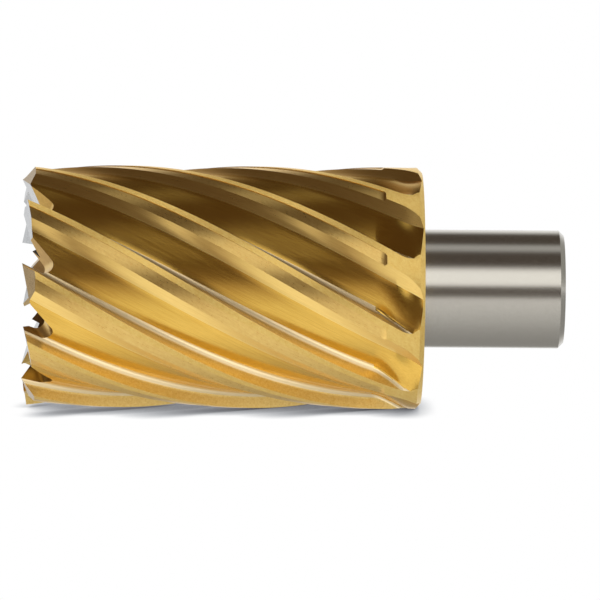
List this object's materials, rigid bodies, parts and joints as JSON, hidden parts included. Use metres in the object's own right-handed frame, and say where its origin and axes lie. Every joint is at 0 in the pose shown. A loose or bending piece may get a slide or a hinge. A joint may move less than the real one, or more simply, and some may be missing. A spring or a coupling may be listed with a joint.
{
  "type": "annular cutter",
  "caption": "Hollow cylindrical hole cutter for a magnetic drill, with right-hand helical flutes, alternating tooth forms and a plain shank with clamping flats.",
  "frame": {"origin": "centre of the plane that the longest tooth tips stand on, on the axis of the cutter", "axes": "+Z along the axis from the teeth to the shank; the cutter stands on its teeth. +Y points away from the viewer of the picture, to the side with the two clamping flats, and -X was up in the picture"},
  "size_m": [0.039, 0.039, 0.0874],
  "materials": {
    "cutter_steel": "ground tool steel; the body with its teeth is coated a gold colour, the shank is bare steel"
  },
  "bodies": {
    "root": {"annular_cutter": "cutter_steel"}
  },
  "joints": []
}
